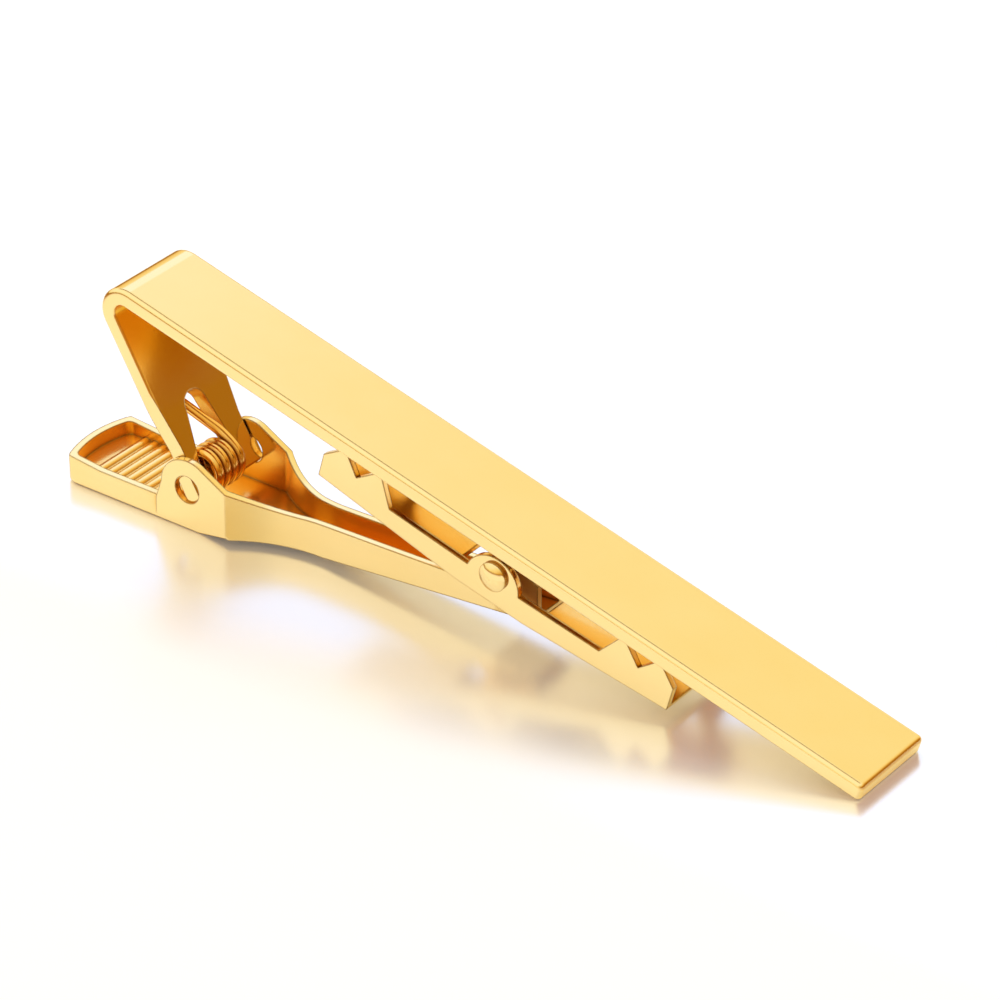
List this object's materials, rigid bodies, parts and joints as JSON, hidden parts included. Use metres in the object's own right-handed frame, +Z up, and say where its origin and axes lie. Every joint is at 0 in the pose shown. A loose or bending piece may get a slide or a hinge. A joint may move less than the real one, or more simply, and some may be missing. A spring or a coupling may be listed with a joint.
{
  "type": "tie clip",
  "caption": "Polished gold tie clip: a folded flat front bar hinged on a sprung lever with a ribbed thumb tray and a rocking toothed jaw that grips cloth.",
  "frame": {"origin": "on the surface that the clip lies on, straight below the hinge axis and midway across the width", "axes": "+X from the hinge towards the tip of the front bar, +Y across the width, +Z up from the surface"},
  "size_m": [0.0604, 0.007, 0.0154],
  "materials": {
    "bar_gold": "polished gold plate",
    "lever_gold": "polished gold plate",
    "jaw_gold": "polished gold plate",
    "rivet_gold": "polished gold plate",
    "spring_gold": "gold-plated wire"
  },
  "bodies": {
    "lever": {"lever": "lever_gold", "torsion_spring": "spring_gold"},
    "front_bar": {"front_bar": "bar_gold"},
    "jaw": {"jaw": "jaw_gold", "jaw_rivet": "rivet_gold"}
  },
  "joints": [
    {"name": "bar_hinge", "type": "hinge", "parent": "lever", "child": "front_bar", "pos_m": [0, 0, 0.00295], "axis": [0, -1, 0], "range_deg": [0, 35], "stiffness_Nm_per_rad": 0.02, "springref_deg": -68.75, "deforming": ["torsion_spring"]},
    {"name": "jaw_pivot", "type": "hinge", "parent": "lever", "child": "jaw", "pos_m": [0.02336, 0, 0.00523], "axis": [0, -1, 0], "range_deg": [0, 14]}
  ],
  "couplings": [
    {"joint": "jaw_pivot", "follows": "bar_hinge", "ratio": 0.4}
  ]
}
